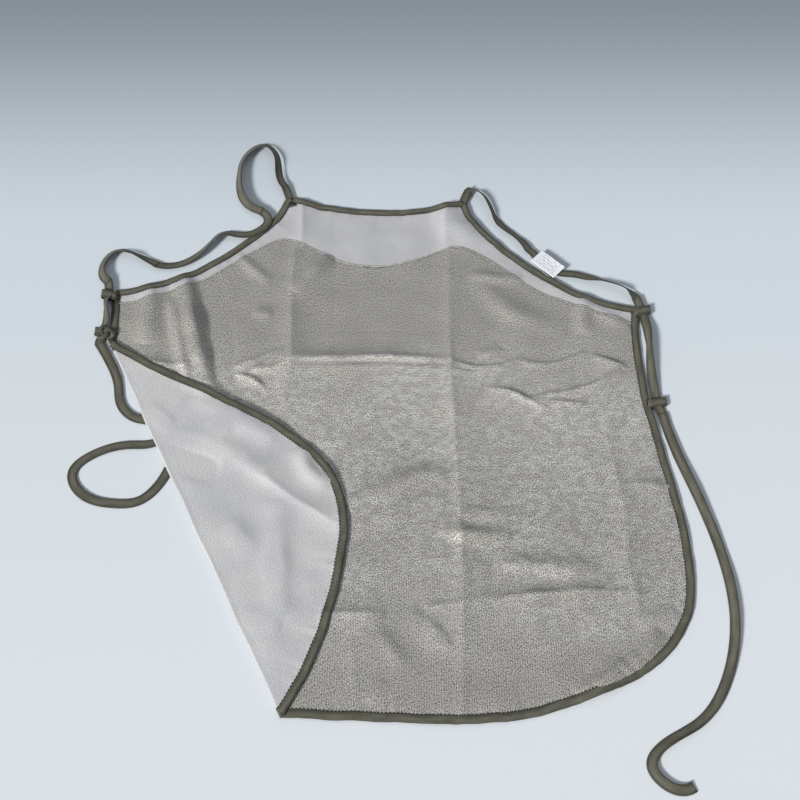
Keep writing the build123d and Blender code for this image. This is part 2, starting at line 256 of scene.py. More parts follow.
# ---- the relief of the cloth
# Each fold: height (times FOLD_STRENGTH), width on the left of its path, width on the right, whether its
# ridge is sharp, and its path, in millimetres. A negative height is a valley.
BODY_FOLDS = [
    # packing creases
    (4.0, 12, 4.5, True, [(-112, 431), (-5, 432), (98, 430)]),
    (2.2, 5, 22, True, [(-100, 420.5), (-10, 421), (94, 419.5)]),
    (2.2, 16, 10, True, [(-102, 625), (-103, 530), (-100, 432), (-107, 340)]),
    (2.0, 18, 10, True, [(94, 640), (91, 438), (97, 275), (99, 162), (95, -20)]),
    (2.8, 7, 20, True, [(100, 127), (154, 133), (224, 139), (290, 137)]),
    (2.2, 7, 24, True, [(-56, 113), (-20, 114), (16, 114)]),
    (1.5, 4, 14, True, [(56, 122), (80, 124), (104, 128)]),
    (1.3, 14, 10, True, [(266, 365), (281, 239), (280, 162), (290, 105)]),
    (1.7, 12, 7, True, [(-96, 690), (-94, 600)]),
    (1.5, 12, 7, True, [(90, 685), (88, 595)]),
    # deep soft folds below the left armhole
    (4.6, 11, 17, False, [(-240, 560), (-230, 519), (-217, 465), (-199, 405), (-185, 380)]),
    (2.6, 7, 7, False, [(-252, 520), (-240, 470), (-225, 415), (-217, 398)]),
    (-2.4, 10, 13, False, [(-209, 556), (-194, 500), (-182, 440), (-164, 390)]),
    (3.0, 16, 14, False, [(-279, 552), (-275, 500), (-279, 455)]),
    (2.5, 8, 8, True, [(-282, 432), (-252, 424), (-218, 421)]),
    # small wrinkles where the two creases met on the left
    (2.0, 2.2, 6, True, [(-178, 417), (-139, 433), (-108, 448)]),
    (1.8, 2.2, 6, True, [(-150, 413), (-132, 425), (-109, 443)]),
    (2.1, 2.2, 6, True, [(-145, 418), (-119, 420), (-101, 430)]),
    (2.1, 2.2, 6, True, [(-171, 413), (-147, 407), (-135, 399), (-126, 388)]),
    (2.4, 12, 9, False, [(-55, 586), (-78, 560), (-103, 532)]),
    (1.8, 8, 7, False, [(-176, 590), (-153, 565), (-130, 545)]),
    (1.2, 9, 7, False, [(-150, 500), (-125, 497)]),
    # wrinkles to the right of the middle crease
    (1.8, 2.4, 7, True, [(90, 428), (118, 421), (145, 420), (174, 432)]),
    (1.8, 2.4, 7, True, [(168, 434), (196, 424), (222, 427), (258, 444)]),
    (1.1, 2, 5, True, [(94, 415), (130, 411)]),
    (2.4, 2.4, 7, True, [(134, 392), (161, 388), (178, 379), (192, 368), (208, 364)]),
    (2.3, 2.4, 7, True, [(180, 378), (204, 382), (227, 386), (245, 391), (267, 399), (294, 419)]),
    (1.9, 2.4, 7, True, [(185, 375), (226, 372), (258, 369)]),
    (2.0, 2.4, 7, True, [(260, 439), (279, 430), (304, 421)]),
    (1.3, 7, 7, False, [(124, 436), (155, 447)]),
    (1.6, 8, 6, False, [(118, 556), (160, 549), (185, 553)]),
    (2.2, 12, 9, False, [(256, 530), (255, 500), (254, 468)]),
    (1.8, 8, 10, False, [(256, 517), (280, 498), (312, 478)]),
    (2.0, 16, 14, False, [(120, 560), (165, 500), (235, 470)]),
    # the lower half
    (2.6, 12, 15, False, [(-28, 235), (6, 253), (33, 269), (58, 277), (92, 277)]),
    (1.6, 10, 12, False, [(-24, 214), (15, 228), (51, 249), (84, 253)]),
    (2.0, 9, 9, False, [(75, 212), (98, 205), (122, 201), (155, 205)]),
    (1.3, 9, 9, False, [(95, 232), (135, 229), (170, 230)]),
    (2.0, 10, 11, False, [(134, 173), (179, 168), (215, 165), (242, 171)]),
    (1.2, 6, 18, False, [(38, 117), (56, 108), (72, 94), (86, 69)]),
    (1.3, 9, 9, False, [(10, 94), (35, 56)]),
    (1.0, 5, 6, True, [(-3, 18), (16, 42)]),
    (0.7, 8, 8, True, [(-17, 78), (-14, 8)]),
    (1.8, 9, 9, False, [(283, 101), (302, 106), (325, 118)]),
    (1.2, 6, 8, True, [(293, 268), (336, 263)]),
    (2.6, 9, 12, False, [(212, 26), (240, 40), (266, 60)]),
    (2.2, 8, 10, False, [(262, 52), (286, 70), (304, 96)]),
    (2.4, 18, 20, False, [(82, 690), (98, 640), (136, 600)]),
]
FLAP_FOLDS = [
    (2.4, 14, 9, True,
     [(-240, 334), (-189, 325), (-157, 303), (-119, 272), (-89, 247), (-62, 231), (-32, 212)]),
    (2.2, 8, 8, False, [(-266, 362), (-232, 336)]),
    (-1.8, 12, 14, False, [(-246, 303), (-212, 294), (-172, 284)]),
    (1.9, 13, 15, False, [(-103, 246), (-103, 170), (-95, 106)]),
    (2.4, 9, 11, False, [(-84, 312), (-72, 280), (-48, 262)]),
    (1.5, 11, 11, False, [(-140, 110), (-94, 98)]),
    (2.0, 16, 13, False, [(-210, 380), (-160, 350), (-110, 322)]),
    (1.2, 9, 10, False, [(-186, 352), (-168, 326)]),
    (1.3, 12, 14, False, [(-160, 220), (-128, 176)]),
]
FOLD_STRENGTH = 2.4
WAVES = 14                    # long, slow undulations of the cloth
WAVE_HEIGHT = 0.16
PUCKER_HEIGHT = 0.75          # gathers along a sewn edge
PUCKER_REACH = 13.0


def path_distance(x, y, path):
    """Signed distance to a path, positive on its left, and how far along it that is, from 0 to 1."""
    best = np.full(x.shape, 1e9)
    signed, place = np.zeros_like(x), np.zeros_like(x)
    path = np.array(path, float)
    total = lengths_along(path)
    for number, (start, end) in enumerate(zip(path, path[1:])):
        span = end - start
        length = np.hypot(*span)
        t = np.clip(((x - start[0]) * span[0] + (y - start[1]) * span[1]) / length**2, 0, 1)
        dx, dy = x - start[0] - t * span[0], y - start[1] - t * span[1]
        distance = np.hypot(dx, dy)
        nearer = distance < best
        side = np.sign(span[0] * dy - span[1] * dx)
        best = np.where(nearer, distance, best)
        signed = np.where(nearer, side * distance, signed)
        place = np.where(nearer, (total[number] + t * length) / total[-1], place)
    return signed, place


def fold_relief(x, y, folds):
    relief = np.zeros_like(x)
    for number, (height, left, right, sharp, path) in enumerate(folds):
        path = smooth(resample(np.array(path, float), 6.0), 2)
        distance, place = path_distance(x, y, path)
        reach = np.abs(distance) / np.where(distance > 0, left, right)
        profile = np.exp(-reach) if sharp else np.exp(-reach * reach)
        fade = np.sin(np.pi * np.clip(place, 0.0, 1.0)) ** 0.6
        ends = np.exp(-np.maximum(np.abs(distance) - 3 * max(left, right), 0) / 3)
        uneven = 1 + 0.2 * wobble(place * lengths_along(path)[-1], 26.0, number + 40)
        relief += FOLD_STRENGTH * height * profile * fade * ends * uneven
    return relief


def slow_waves(x, y, seed):
    generator = np.random.default_rng(seed)
    total = np.zeros_like(x)
    for _ in range(WAVES):
        angle = generator.uniform(0, math.pi)
        length = generator.uniform(34, 130)
        phase = generator.uniform(0, 2 * math.pi)
        total += np.sin((x * math.cos(angle) + y * math.sin(angle)) * 2 * math.pi / length + phase)
    return total * WAVE_HEIGHT


def gathers(points, edge, seed):
    """Small puckers that run in from a sewn edge."""
    distance, along = nearest_on(edge, points)
    ripple = wobble(along, 7.0, seed) + 0.6 * wobble(along, 3.6, seed + 1)
    return PUCKER_HEIGHT * ripple * np.exp(-distance / PUCKER_REACH) * smoothstep(distance, -4, 7)


EDGE_NODES = [f"{place}_binding" for place in ("neck", "left_armhole", "right_armhole", "left_side", "hem")]
EDGE_LINES = {node: centre_line(node) for node in EDGE_NODES + ["flap_binding"]}
BODY_EDGE = np.vstack([EDGE_LINES[node] for node in EDGE_NODES])
LINING_EDGE = centre_line("lining_edge_stitching", apart=0.3)


def under_flap(points):
    """1 well under the folded flap, 0 outside it."""
    distance, _ = nearest_on(resample(np.vstack([FLAP_RING, FLAP_RING[:1]]), 2.0), points)
    return np.where(inside(points, FLAP_RING), smoothstep(distance, 2, 16), 0.0)


def body_height(points):
    """How far the cloth of the body stands above where it would lie flat."""
    x, y = points[:, 0], points[:, 1]
    height = fold_relief(x, y, BODY_FOLDS) + slow_waves(x, y, 3) + gathers(points, BODY_EDGE, 11)
    height = np.maximum(height + 0.45, 0.15 * np.tanh(height + 0.45))
    height = height * (1 - 0.85 * under_flap(points)) * smoothstep(past_fold(points), 6, 30)
    return np.maximum(height, 0)


def flap_height(points):
    x, y = points[:, 0], points[:, 1]
    height = fold_relief(x, y, FLAP_FOLDS) + 0.9 * slow_waves(x, y, 5)
    height += gathers(points, EDGE_LINES["flap_binding"], 23)
    return np.maximum(height + 0.5, -0.2)


# ---- meshes
def add_object(name, data):
    obj = bpy.data.objects.new(name, data)
    bpy.context.scene.collection.objects.link(obj)
    return obj


def new_mesh(name, vertices, faces, uv):
    """An object from millimetre vertices, faces of any size, and one UV, in metres, per vertex."""
    mesh = bpy.data.meshes.new(name)
    mesh.from_pydata((np.asarray(vertices) * MM).tolist(), [], [tuple(face) for face in faces])
    layer = mesh.uv_layers.new(name="UVMap")
    loops = np.zeros(len(mesh.loops), np.int32)
    mesh.loops.foreach_get("vertex_index", loops)
    layer.data.foreach_set("uv", (np.asarray(uv)[loops] * MM / UV_UNIT).astype(np.float32).ravel())
    mesh.polygons.foreach_set("use_smooth", [True] * len(mesh.polygons))
    mesh.update()
    return add_object(name, mesh)


def vertex_normals(points, quads):
    a, b, c, d = (points[quads[:, k]] for k in range(4))
    face = np.cross(c - a, d - b)
    normals = np.zeros_like(points)
    for k in range(4):
        np.add.at(normals, quads[:, k], face)
    return unit(normals)


def thick_sheet(name, points, quads, uv, top, bottom):
    """A closed sheet between two offsets along its normals, with walls round its border."""
    used, compact = np.unique(quads, return_inverse=True)
    quads = compact.reshape(quads.shape)
    points, uv = points[used], uv[used]
    normals = vertex_normals(points, quads)
    count = len(points)
    edges = np.concatenate([quads[:, [k, (k + 1) % 4]] for k in range(4)])
    keys = np.sort(edges, axis=1)
    _, first, uses = np.unique(keys, axis=0, return_index=True, return_counts=True)
    border = edges[first[uses == 1]]
    walls = np.stack([border[:, 1], border[:, 0], border[:, 0] + count, border[:, 1] + count], axis=1)
    faces = np.concatenate([quads, quads[:, ::-1] + count, walls])
    vertices = np.concatenate([points + normals * top, points + normals * bottom])
    return new_mesh(name, vertices, faces, np.concatenate([uv, uv]))


def grid_cells(columns, rows):
    number = np.arange(columns * rows).reshape(columns, rows)
    corners = [number[:-1, :-1], number[1:, :-1], number[1:, 1:], number[:-1, 1:]]
    return np.stack(corners, axis=-1).reshape(-1, 4)


def near_binding(edge, points):
    """1 under the binding along an edge, 0 well clear of it."""
    return 1 - smoothstep(nearest_on(edge, points)[0], *BINDING_SHADOW)


def cloth_from_grid(name, ring, top, bottom, pressed, top_edge=None):
    """A flat-lying sheet: grid cells inside a ring and below a top edge, raised by the cloth's relief."""
    low, high = ring.min(axis=0), ring.max(axis=0)
    xs, ys = (np.arange(low[k] + 0.3, high[k], GRID) for k in range(2))
    grid = np.stack(np.meshgrid(xs, ys, indexing="ij"), axis=-1)
    limit = np.inf if top_edge is None else np.interp(xs, *top_edge.T)[:, None]
    over = grid[:, :, 1] > limit
    first_over = over & ~np.concatenate([over[:, :1] & False, over[:, :-1]], axis=1)
    grid[:, :, 1] = np.where(first_over, limit, grid[:, :, 1])
    points = grid.reshape(-1, 2)
    keep = inside(points, ring) & (~over | first_over).ravel()
    keep |= first_over.ravel() & inside(points - [0, 0.6], ring)
    quads = grid_cells(len(xs), len(ys))
    quads = quads[keep[quads].all(axis=1)]
    height = np.zeros(len(points))
    used = np.unique(quads)
    height[used] = body_height(points[used])
    sink = 1 - smoothstep(past_fold(points), RETURN_LENGTH, RETURN_LENGTH + 3)
    sink[used] += pressed * near_binding(BODY_EDGE, points[used])
    vertices = np.column_stack([points, CLOTH_Z + height - sink])
    return thick_sheet(name, vertices, quads, points, top, bottom)


def fold_profile(along, arc):
    """Where a point of the flap lies. arc is 0 at the end of the turn, and negative in and under it."""
    share = np.clip(along / FOLD_LENGTH, 0, 1)
    top_z = FLAP_EDGE_Z + FOLD_PUFF * np.sin(math.pi * share) ** 0.7
    low_z = CLOTH_Z - CLOTH_THICK
    radius = (top_z - low_z) / 2
    turn = math.pi * radius
    angle = np.clip(-arc / turn, 0, 1) * math.pi
    across = np.where(arc > 0, arc, -radius * np.sin(angle) * 0.9)
    across = np.where(arc < -turn, -arc - turn, across)
    z = low_z + radius + radius * np.cos(angle)
    settle = 1 - np.exp(-np.maximum(arc, 0) / 55)
    z = np.where(arc > 0, top_z + (FLAP_EDGE_Z - top_z) * settle, z)
    return across, z


def settled(z, across):
    """Holds the flap's folds down, so that they clear the table when it is opened out."""
    cap = FLAP_CEILING + FLAP_CEILING_SLOPE * across + 1.2 * (1 - np.exp(-across / 60))
    return cap - CEILING_SOFTNESS * np.log1p(np.exp((cap - z) / CEILING_SOFTNESS))


def flap_cloth(name, top, bottom, pressed=0.0):
    """The folded flap, the turn of the fold and a short return onto the body. pressed draws its edge in."""
    turn_rows = -np.linspace(1, 0, 15)[:-1] * math.pi * (FLAP_EDGE_Z + FOLD_PUFF - CLOTH_Z) / 2
    under_rows = np.linspace(turn_rows[0] - RETURN_LENGTH, turn_rows[0], 5)[:-1]
    arcs = np.concatenate([under_rows, turn_rows, np.arange(0, past_fold(FLAP_RING).max(), GRID)])
    alongs = np.arange(0.5, FOLD_LENGTH, GRID)
    along, arc = crossed(alongs, arcs)
    across, z = fold_profile(along, arc)
    points = at_fold(along, across)
    probe = at_fold(along, np.maximum(arc, 1.6))
    keep = inside(probe, FLAP_RING)
    quads = grid_cells(len(alongs), len(arcs))[:, ::-1]
    quads = quads[keep[quads].all(axis=1)]
    used = np.unique(quads)
    relief = np.zeros(len(points))
    relief[used] = flap_height(probe[used]) + 0.9 * body_height(probe[used])
    raised = settled(z + relief * smoothstep(arc, -2, 16), np.maximum(arc, 0))
    z = np.where(arc > 0, raised, z)
    bound = near_binding(EDGE_LINES["flap_binding"], points[used])
    z[used] += pressed * bound * smoothstep(arc[used], 2, 8)
    wave = 1.1 * wobble(along, 38.0, 91) * np.exp(-((np.minimum(arc, 0) + 5) / 9) ** 2)
    points = points + wave[:, None] * FOLD_ACROSS * smoothstep(-arc, -30, 0)[:, None]
    uv = np.column_stack([along, arc])
    return thick_sheet(name, np.column_stack([points, z]), quads, uv, top, bottom)


def ribbon(name, path, roll, section, closed=False):
    """Sweeps a section of (across, out) points along a path. roll turns it, in degrees, from lying flat."""
    ahead = unit(np.roll(path, -1, axis=0) - np.roll(path, 1, axis=0)) if closed else directions(path)
    flat = unit(np.cross([0.0, 0.0, 1.0], ahead))
    up = np.cross(ahead, flat)
    angle = np.radians(np.broadcast_to(roll, len(path)))[:, None]
    across = flat * np.cos(angle) + up * np.sin(angle)
    out = np.cross(ahead, across)
    return sweep(name, path, across, out, section, closed)


def between(behind, ahead):
    """Four-cornered faces from each ring of corners to the one ahead of it."""
    corners = [behind, np.roll(behind, -1, axis=-1), np.roll(ahead, -1, axis=-1), ahead]
    return np.stack(corners, axis=-1).reshape(-1, 4).tolist()


def sweep(name, path, across, out, section, closed=False):
    """Sweeps a section along a path that carries its own across and out directions."""
    section = np.array(section, float)
    count, size = len(path), len(section)
    vertices = path[:, None] + across[:, None] * section[None, :, :1] + out[:, None] * section[None, :, 1:]
    number = np.arange(count * size).reshape(count, size)
    if closed:
        faces = between(number, np.roll(number, -1, axis=0))
    else:
        faces = between(number[:-1], number[1:]) + [number[0][::-1].tolist(), number[-1].tolist()]
    along = lengths_along(path)
    uv = np.stack(np.broadcast_arrays(section[None, :, 0], along[:, None]), axis=-1)
    return new_mesh(name, vertices.reshape(-1, 3), faces, uv.reshape(-1, 2))


def rounded_tape(width, thick, edge=0.75):
    """The section of a flat folded tape, a little fuller along both edges."""
    half, h = width / 2, thick / 2
    upper = [
        (half * 0.3, h * 0.85),
        (half - edge * 1.6, h * 0.9),
        (half - edge * 0.7, h * 1.1),
        (half - 0.12, h * 0.75),
    ]
    right = upper + [(half, 0)] + [(across, -out) for across, out in reversed(upper)]
    return right + [(-across, out) for across, out in reversed(right)]


def binding_section(inward):
    """Tape folded over an edge. inward is +1 or -1: the side of the path the cloth is on."""
    h = BINDING_HALF_THICK
    upper = [
        (BINDING_HALF_WIDTH, 0.42 * h),
        (4.45, 0.74 * h),
        (3.7, 0.86 * h),
        (3.0, 0.80 * h),
        (2.4, 0.92 * h),
        (0.5, 1.08 * h),
        (-2.0, 1.10 * h),
        (-3.6, 0.86 * h),
        (-4.35, 0.45 * h),
    ]
    profile = upper + [(-BINDING_HALF_WIDTH, 0)] + [(across, -out) for across, out in reversed(upper)]
    return [(across * inward, out) for across, out in profile][::inward]


def inward_side(path, middle=(0.0, 300.0)):
    """+1 if the apron's middle lies on the left of the path, else -1."""
    ahead = directions(path)
    to_middle = np.array(middle) - path
    left = ahead[:, 0] * to_middle[:, 1] - ahead[:, 1] * to_middle[:, 0]
    return 1 if np.median(left) > 0 else -1


# ---- materials
WAVE_SCALE = 0.31831          # a wave texture at this scale repeats about every 1 unit


class Shader:
    """A small helper that builds a node material by chaining sockets."""

    def __init__(self, name):
        self.material = bpy.data.materials.new(name)
        self.material.use_nodes = True
        self.nodes = self.material.node_tree.nodes
        self.links = self.material.node_tree.links
        self.surface = self.nodes["Principled BSDF"]
        self.uv = self.node("ShaderNodeUVMap").outputs[0]

    def node(self, kind, inputs=None, **settings):
        node = self.nodes.new(kind)
        for key, value in settings.items():
            setattr(node, key, value)
        for key, value in (inputs or {}).items():
            self.put(node.inputs[key], value)
        return node

    def put(self, socket, value):
        if isinstance(value, bpy.types.NodeSocket):
            self.links.new(value, socket)
        else:
            socket.default_value = value

    def math(self, operation, a, b=0.0, c=0.0):
        return self.node("ShaderNodeMath", {0: a, 1: b, 2: c}, operation=operation).outputs[0]

    def times(self, a, b):
        return self.math("MULTIPLY", a, b)

    def tinted(self, colour, tone):
        return self.mix(1.0, colour, tone, "MULTIPLY")

    def off_middle(self, value, middle):
        """How far a value is from a middle one, on either side."""
        return self.math("ABSOLUTE", self.math("SUBTRACT", value, middle))

    def stretched(self, across, along, turn=0.0):
        """UV in millimetres, scaled each way, so that 1 unit is one repeat."""
        scale = UV_UNIT / MM
        inputs = {
            "Vector": self.uv,
            "Scale": (scale * across, scale * along, 1),
            "Rotation": (0, 0, math.radians(turn)),
        }
        return self.node("ShaderNodeMapping", inputs).outputs[0]

    def place(self, way, across=1.0, vector=None):
        """One coordinate, 0 across or 1 along, of the UV in millimetres or of another vector."""
        vector = vector or self.stretched(across, 1)
        return self.node("ShaderNodeSeparateXYZ", {"Vector": vector}).outputs[way]

    def noise(self, size_across, size_along, detail=2.0, turn=0.0):
        vector = self.stretched(1 / size_across, 1 / size_along, turn)
        inputs = {"Vector": vector, "Scale": 1.0, "Detail": detail}
        return self.node("ShaderNodeTexNoise", inputs, noise_dimensions="2D").outputs[0]

    def stripes(self, pitch, turn=0.0, distortion=0.0, direction="X"):
        vector = self.stretched(1 / pitch, 1 / pitch, turn)
        inputs = {"Vector": vector, "Scale": WAVE_SCALE, "Distortion": distortion}
        return self.node("ShaderNodeTexWave", inputs, bands_direction=direction).outputs[1]

    def ramp(self, value, low, high, smoother=True):
        inputs = {"Value": value, "From Min": low, "From Max": high}
        kind = "SMOOTHSTEP" if smoother else "LINEAR"
        return self.node("ShaderNodeMapRange", inputs, interpolation_type=kind).outputs[0]

    def mix(self, share, a, b, blend="MIX"):
        inputs = {0: share, 6: a, 7: b}
        return self.node("ShaderNodeMix", inputs, data_type="RGBA", blend_type=blend).outputs[2]

    def bump(self, height, distance, strength=1.0):
        inputs = {"Height": height, "Distance": distance, "Strength": strength}
        return self.node("ShaderNodeBump", inputs).outputs[0]

    def finish(self, colour, normal, roughness, metallic=0.0, sheen=0.0):
        names = ("Base Color", "Normal", "Roughness", "Metallic", "Sheen Weight", "Sheen Roughness")
        for name, value in zip(names, (colour, normal, roughness, metallic, sheen, 0.4)):
            self.put(self.surface.inputs[name], value)
        return self.material


def srgb(red, green, blue):
    """A linear colour from familiar 0 to 255 values."""
    shares = (value / 255 for value in (red, green, blue))
    return tuple(v / 12.92 if v <= 0.04045 else ((v + 0.055) / 1.055) ** 2.4 for v in shares) + (1.0,)


def lining_material():
    """Silver-fibre shielding cloth: speckled yarns, ribbed upright near the hem and across higher up."""
    s = Shader("silver_fibre_lining")
    speck = s.noise(0.95, 1.15, 3.0)
    flecks = s.noise(0.8, 1.6, 1.0, turn=12)
    patches = s.noise(70, 55, 3.0)
    drift = s.math("MULTIPLY_ADD", s.noise(90, 90, 1.0), 160, s.place(1))
    upright = s.times(s.stripes(2.6, distortion=0.5), s.ramp(drift, 260, 160))
    level = s.times(s.stripes(2.1, distortion=0.5, direction="Y"), s.ramp(drift, 330, 430))
    ribs = s.math("ADD", upright, level)
    yarn = s.math("MULTIPLY_ADD", ribs, 0.22, s.ramp(speck, 0.3, 0.72, False))
    colour = s.mix(yarn, srgb(72, 70, 66), srgb(252, 250, 246))
    colour = s.mix(s.ramp(flecks, 0.60, 0.70), colour, srgb(255, 254, 250))
    colour = s.mix(s.ramp(flecks, 0.41, 0.31), colour, srgb(56, 54, 50))
    tone = s.mix(s.ramp(patches, 0.2, 0.8), srgb(238, 236, 232), srgb(252, 252, 252))
    tone = s.mix(s.ramp(s.noise(11, 8, 2.0), 0.62, 0.38), tone, srgb(226, 223, 219))
    # Darker towards the top and the bottom of the lining.
    darker_top_and_bottom = s.math("ADD", s.ramp(drift, 455, 560), s.ramp(drift, 230, 130))
    tone = s.mix(darker_top_and_bottom, tone, srgb(212, 210, 206))
    colour = s.tinted(colour, tone)
    height = s.math("MULTIPLY_ADD", ribs, 0.35, s.times(speck, 0.8))
    roughness = s.math("MULTIPLY_ADD", flecks, -0.25, 0.66)
    return s.finish(colour, s.bump(height, 0.0005, 0.55), roughness, metallic=0.22, sheen=0.12)


def shell_material():
    """Pale silver-grey outer cloth: a fine close twill with a satin sheen."""
    s = Shader("outer_cloth")
    twill = s.stripes(1.3, turn=38, distortion=0.8)
    thread = s.noise(0.7, 1.5, 2.0)
    patches = s.noise(60, 90, 3.0)
    yarn = s.math("MULTIPLY_ADD", thread, 0.75, s.times(twill, 0.25))
    colour = s.mix(s.ramp(yarn, 0.28, 0.72, False), srgb(160, 159, 159), srgb(240, 240, 241))
    tone = s.mix(s.ramp(patches, 0.3, 0.7), srgb(243, 243, 246), srgb(255, 254, 252))
    tone = s.mix(s.ramp(s.place(1), 470, 560), tone, srgb(238, 238, 239))
    colour = s.tinted(colour, tone)
    height = s.math("ADD", s.times(thread, 0.6), s.times(twill, 0.4))
    return s.finish(colour, s.bump(height, 0.0005, 0.5), 0.62, sheen=0.2)


def tape_material(name, half_width, sewn_at=None):
    """Olive-grey woven tape with fine cross ribs, a painted highlight along the middle and painted shade at
    the edges.
    """
    s = Shader(name)
    ribs = s.stripes(0.75, direction="Y", distortion=0.5)
    yarn = s.noise(0.6, 0.5, 2.0)
    mottling = s.noise(6, 24, 3.0)
    across = s.math("ABSOLUTE", s.place(0, 1 / half_width))
    weave = s.math("MULTIPLY_ADD", ribs, 0.35, s.times(yarn, 0.65))
    colour = s.mix(s.ramp(weave, 0.28, 0.72, False), srgb(60, 59, 49), srgb(120, 118, 103))
    # Painted highlight: paler along the middle of the tape.
    colour = s.mix(s.times(s.ramp(across, 0.6, 0.1), 0.2), colour, srgb(144, 141, 125))
    # Painted shade: darker along both edges, where the tape rounds away from the light.
    colour = s.mix(s.times(s.ramp(across, 0.6, 1.0), 0.55), colour, srgb(44, 43, 35))
    tone = s.mix(s.ramp(mottling, 0.25, 0.75), srgb(206, 204, 198), srgb(255, 255, 255))
    colour = s.tinted(colour, tone)
    if sewn_at is not None:
        line = s.ramp(s.off_middle(across, sewn_at), 0.075, 0.045)
        dashes = s.times(line, s.ramp(s.stripes(3.0, direction="Y"), 0.25, 0.35))
        colour = s.mix(s.times(dashes, 0.85), colour, srgb(40, 38, 32))
        weave = s.math("MULTIPLY_ADD", line, -0.8, weave)
    return s.finish(colour, s.bump(weave, 0.0004, 0.6), 0.66, sheen=0.15)


def thread_material():
    """Dark sewing thread with the lay of its twist."""
    s = Shader("sewing_thread")
    twist = s.stripes(0.45, turn=35)
    colour = s.mix(twist, srgb(24, 23, 18), srgb(58, 56, 46))
    return s.finish(colour, s.bump(twist, 0.0001, 0.5), 0.7, sheen=0.1)


def label_material():
    """White satin label tape with faint grey bars in place of any wording."""
    s = Shader("label_satin")
    weave = s.stripes(0.5, direction="Y")
    rows = s.ramp(s.stripes(3.4, direction="Y"), 0.80, 0.86)
    words = s.ramp(s.noise(1.6, 3.4, 0.0), 0.44, 0.5)
    margin = s.ramp(s.off_middle(s.place(0), LABEL_LENGTH / 2), 14.5, 13.5)
    foot = s.ramp(s.place(1), 4.0, 4.5)
    marks = s.times(s.times(rows, words), s.times(margin, foot))
    colour = s.mix(weave, srgb(228, 231, 235), srgb(244, 246, 249))
    colour = s.mix(s.times(marks, 0.75), colour, srgb(92, 94, 98))
    return s.finish(colour, s.bump(weave, 0.0002, 0.3), 0.42, sheen=0.2)


def floor_material():
    """Plain pale floor with painted shade: it greys off with distance from the viewer, in place of the
    light falling off.
    """
    s = Shader("floor")
    geometry = s.node("ShaderNodeNewGeometry").outputs["Position"]
    away = s.place(1, vector=geometry)
    # Painted shade: darker with distance, standing in for the light falling off.
    near = s.mix(s.ramp(away, 0.0, 0.8), srgb(230, 235, 239), srgb(213, 222, 229))
    colour = s.mix(s.ramp(away, 0.6, 1.1), near, srgb(138, 146, 153))
    return s.finish(colour, s.bump(s.noise(40, 40), 0.0002, 0.05), 0.6)


LINING = lining_material()
SHELL = shell_material()
BINDING = tape_material("binding_tape", BINDING_HALF_WIDTH)
STRAP = tape_material("strap_tape", 5.6, sewn_at=0.72)
THREAD = thread_material()
LABEL = label_material()


def dress(obj, material, slot, body, *nodes):
    """Gives a piece its material and its body, and hides the CAD nodes it stands for."""
    obj.data.materials.append(material)
    if body is not None:
        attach(obj, body)
    if nodes:
        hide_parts(*nodes)
    return obj


def bend_at_fold(obj):
    """Bakes a piece's placement into its mesh."""
    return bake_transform(obj)


# ---- cloth
lining_edge = LINING_EDGE[np.argsort(LINING_EDGE[:, 0])] + [0, 3.0]
edge_x = lining_edge[:, 0]
shoulders = np.maximum(smoothstep(-edge_x, 112, 152), 0.8 * smoothstep(edge_x, 225, 275))
lining_edge[:, 1] -= EDGE_SETTLE * shoulders + LEFT_SETTLE * np.exp(-((edge_x + 190) / 45) ** 2)
outline_tops = lining_edge[[0, -1]] + [[-60, 0], [60, 0]]
lining_top = np.vstack([outline_tops[:1], lining_edge, outline_tops[1:]])
lining_top[:, 1] += 0.5 * wobble(lining_top[:, 0] + 420, 6.0, 77)

outer = cloth_from_grid("outer_cloth", BODY_RING, 0.0, -CLOTH_THICK, pressed=0.2)
dress(outer, SHELL, "shell", "apron", "outer_shell")
lining = cloth_from_grid("lining_cloth", LINING_RING, LINING_RISE, 0.1, pressed=0.3, top_edge=lining_top)
dress(lining, LINING, "lining", "apron", "shielding_lining")

outer_flap = flap_cloth("outer_cloth_flap", 0.0, -CLOTH_THICK)
dress(outer_flap, SHELL, "shell", None, "outer_shell_flap")
under = -CLOTH_THICK - LAYER_GAP
lining_flap = flap_cloth("lining_cloth_flap", under, under - CLOTH_THICK, pressed=0.36)
dress(lining_flap, LINING, "lining", None, "shielding_lining_flap")
for sheet in (outer_flap, lining_flap):
    bend_at_fold(sheet)


# ---- bound edges
def edge_wander(path, seed):
    """Sewn tape is never quite true: a small sideways wander along its length."""
    along = lengths_along(path)
    ends = smoothstep(along, 0, 12) * smoothstep(along[-1] - along, 0, 12)
    wander = ends * (0.7 * wobble(along, 23, seed) + 0.25 * wobble(along, 7, seed + 1))
    return path + to_left(directions(path)) * wander[:, None]


def surface_z(path, on_flap):
    """How high the cloth is along a path."""
    if not on_flap:
        return CLOTH_Z + body_height(path)
    across = np.maximum(past_fold(path), 0)
    _, z = fold_profile((path - FOLD_FOOT) @ FOLD_ALONG, across)
    return settled(z + flap_height(path) + 0.9 * body_height(path), across)


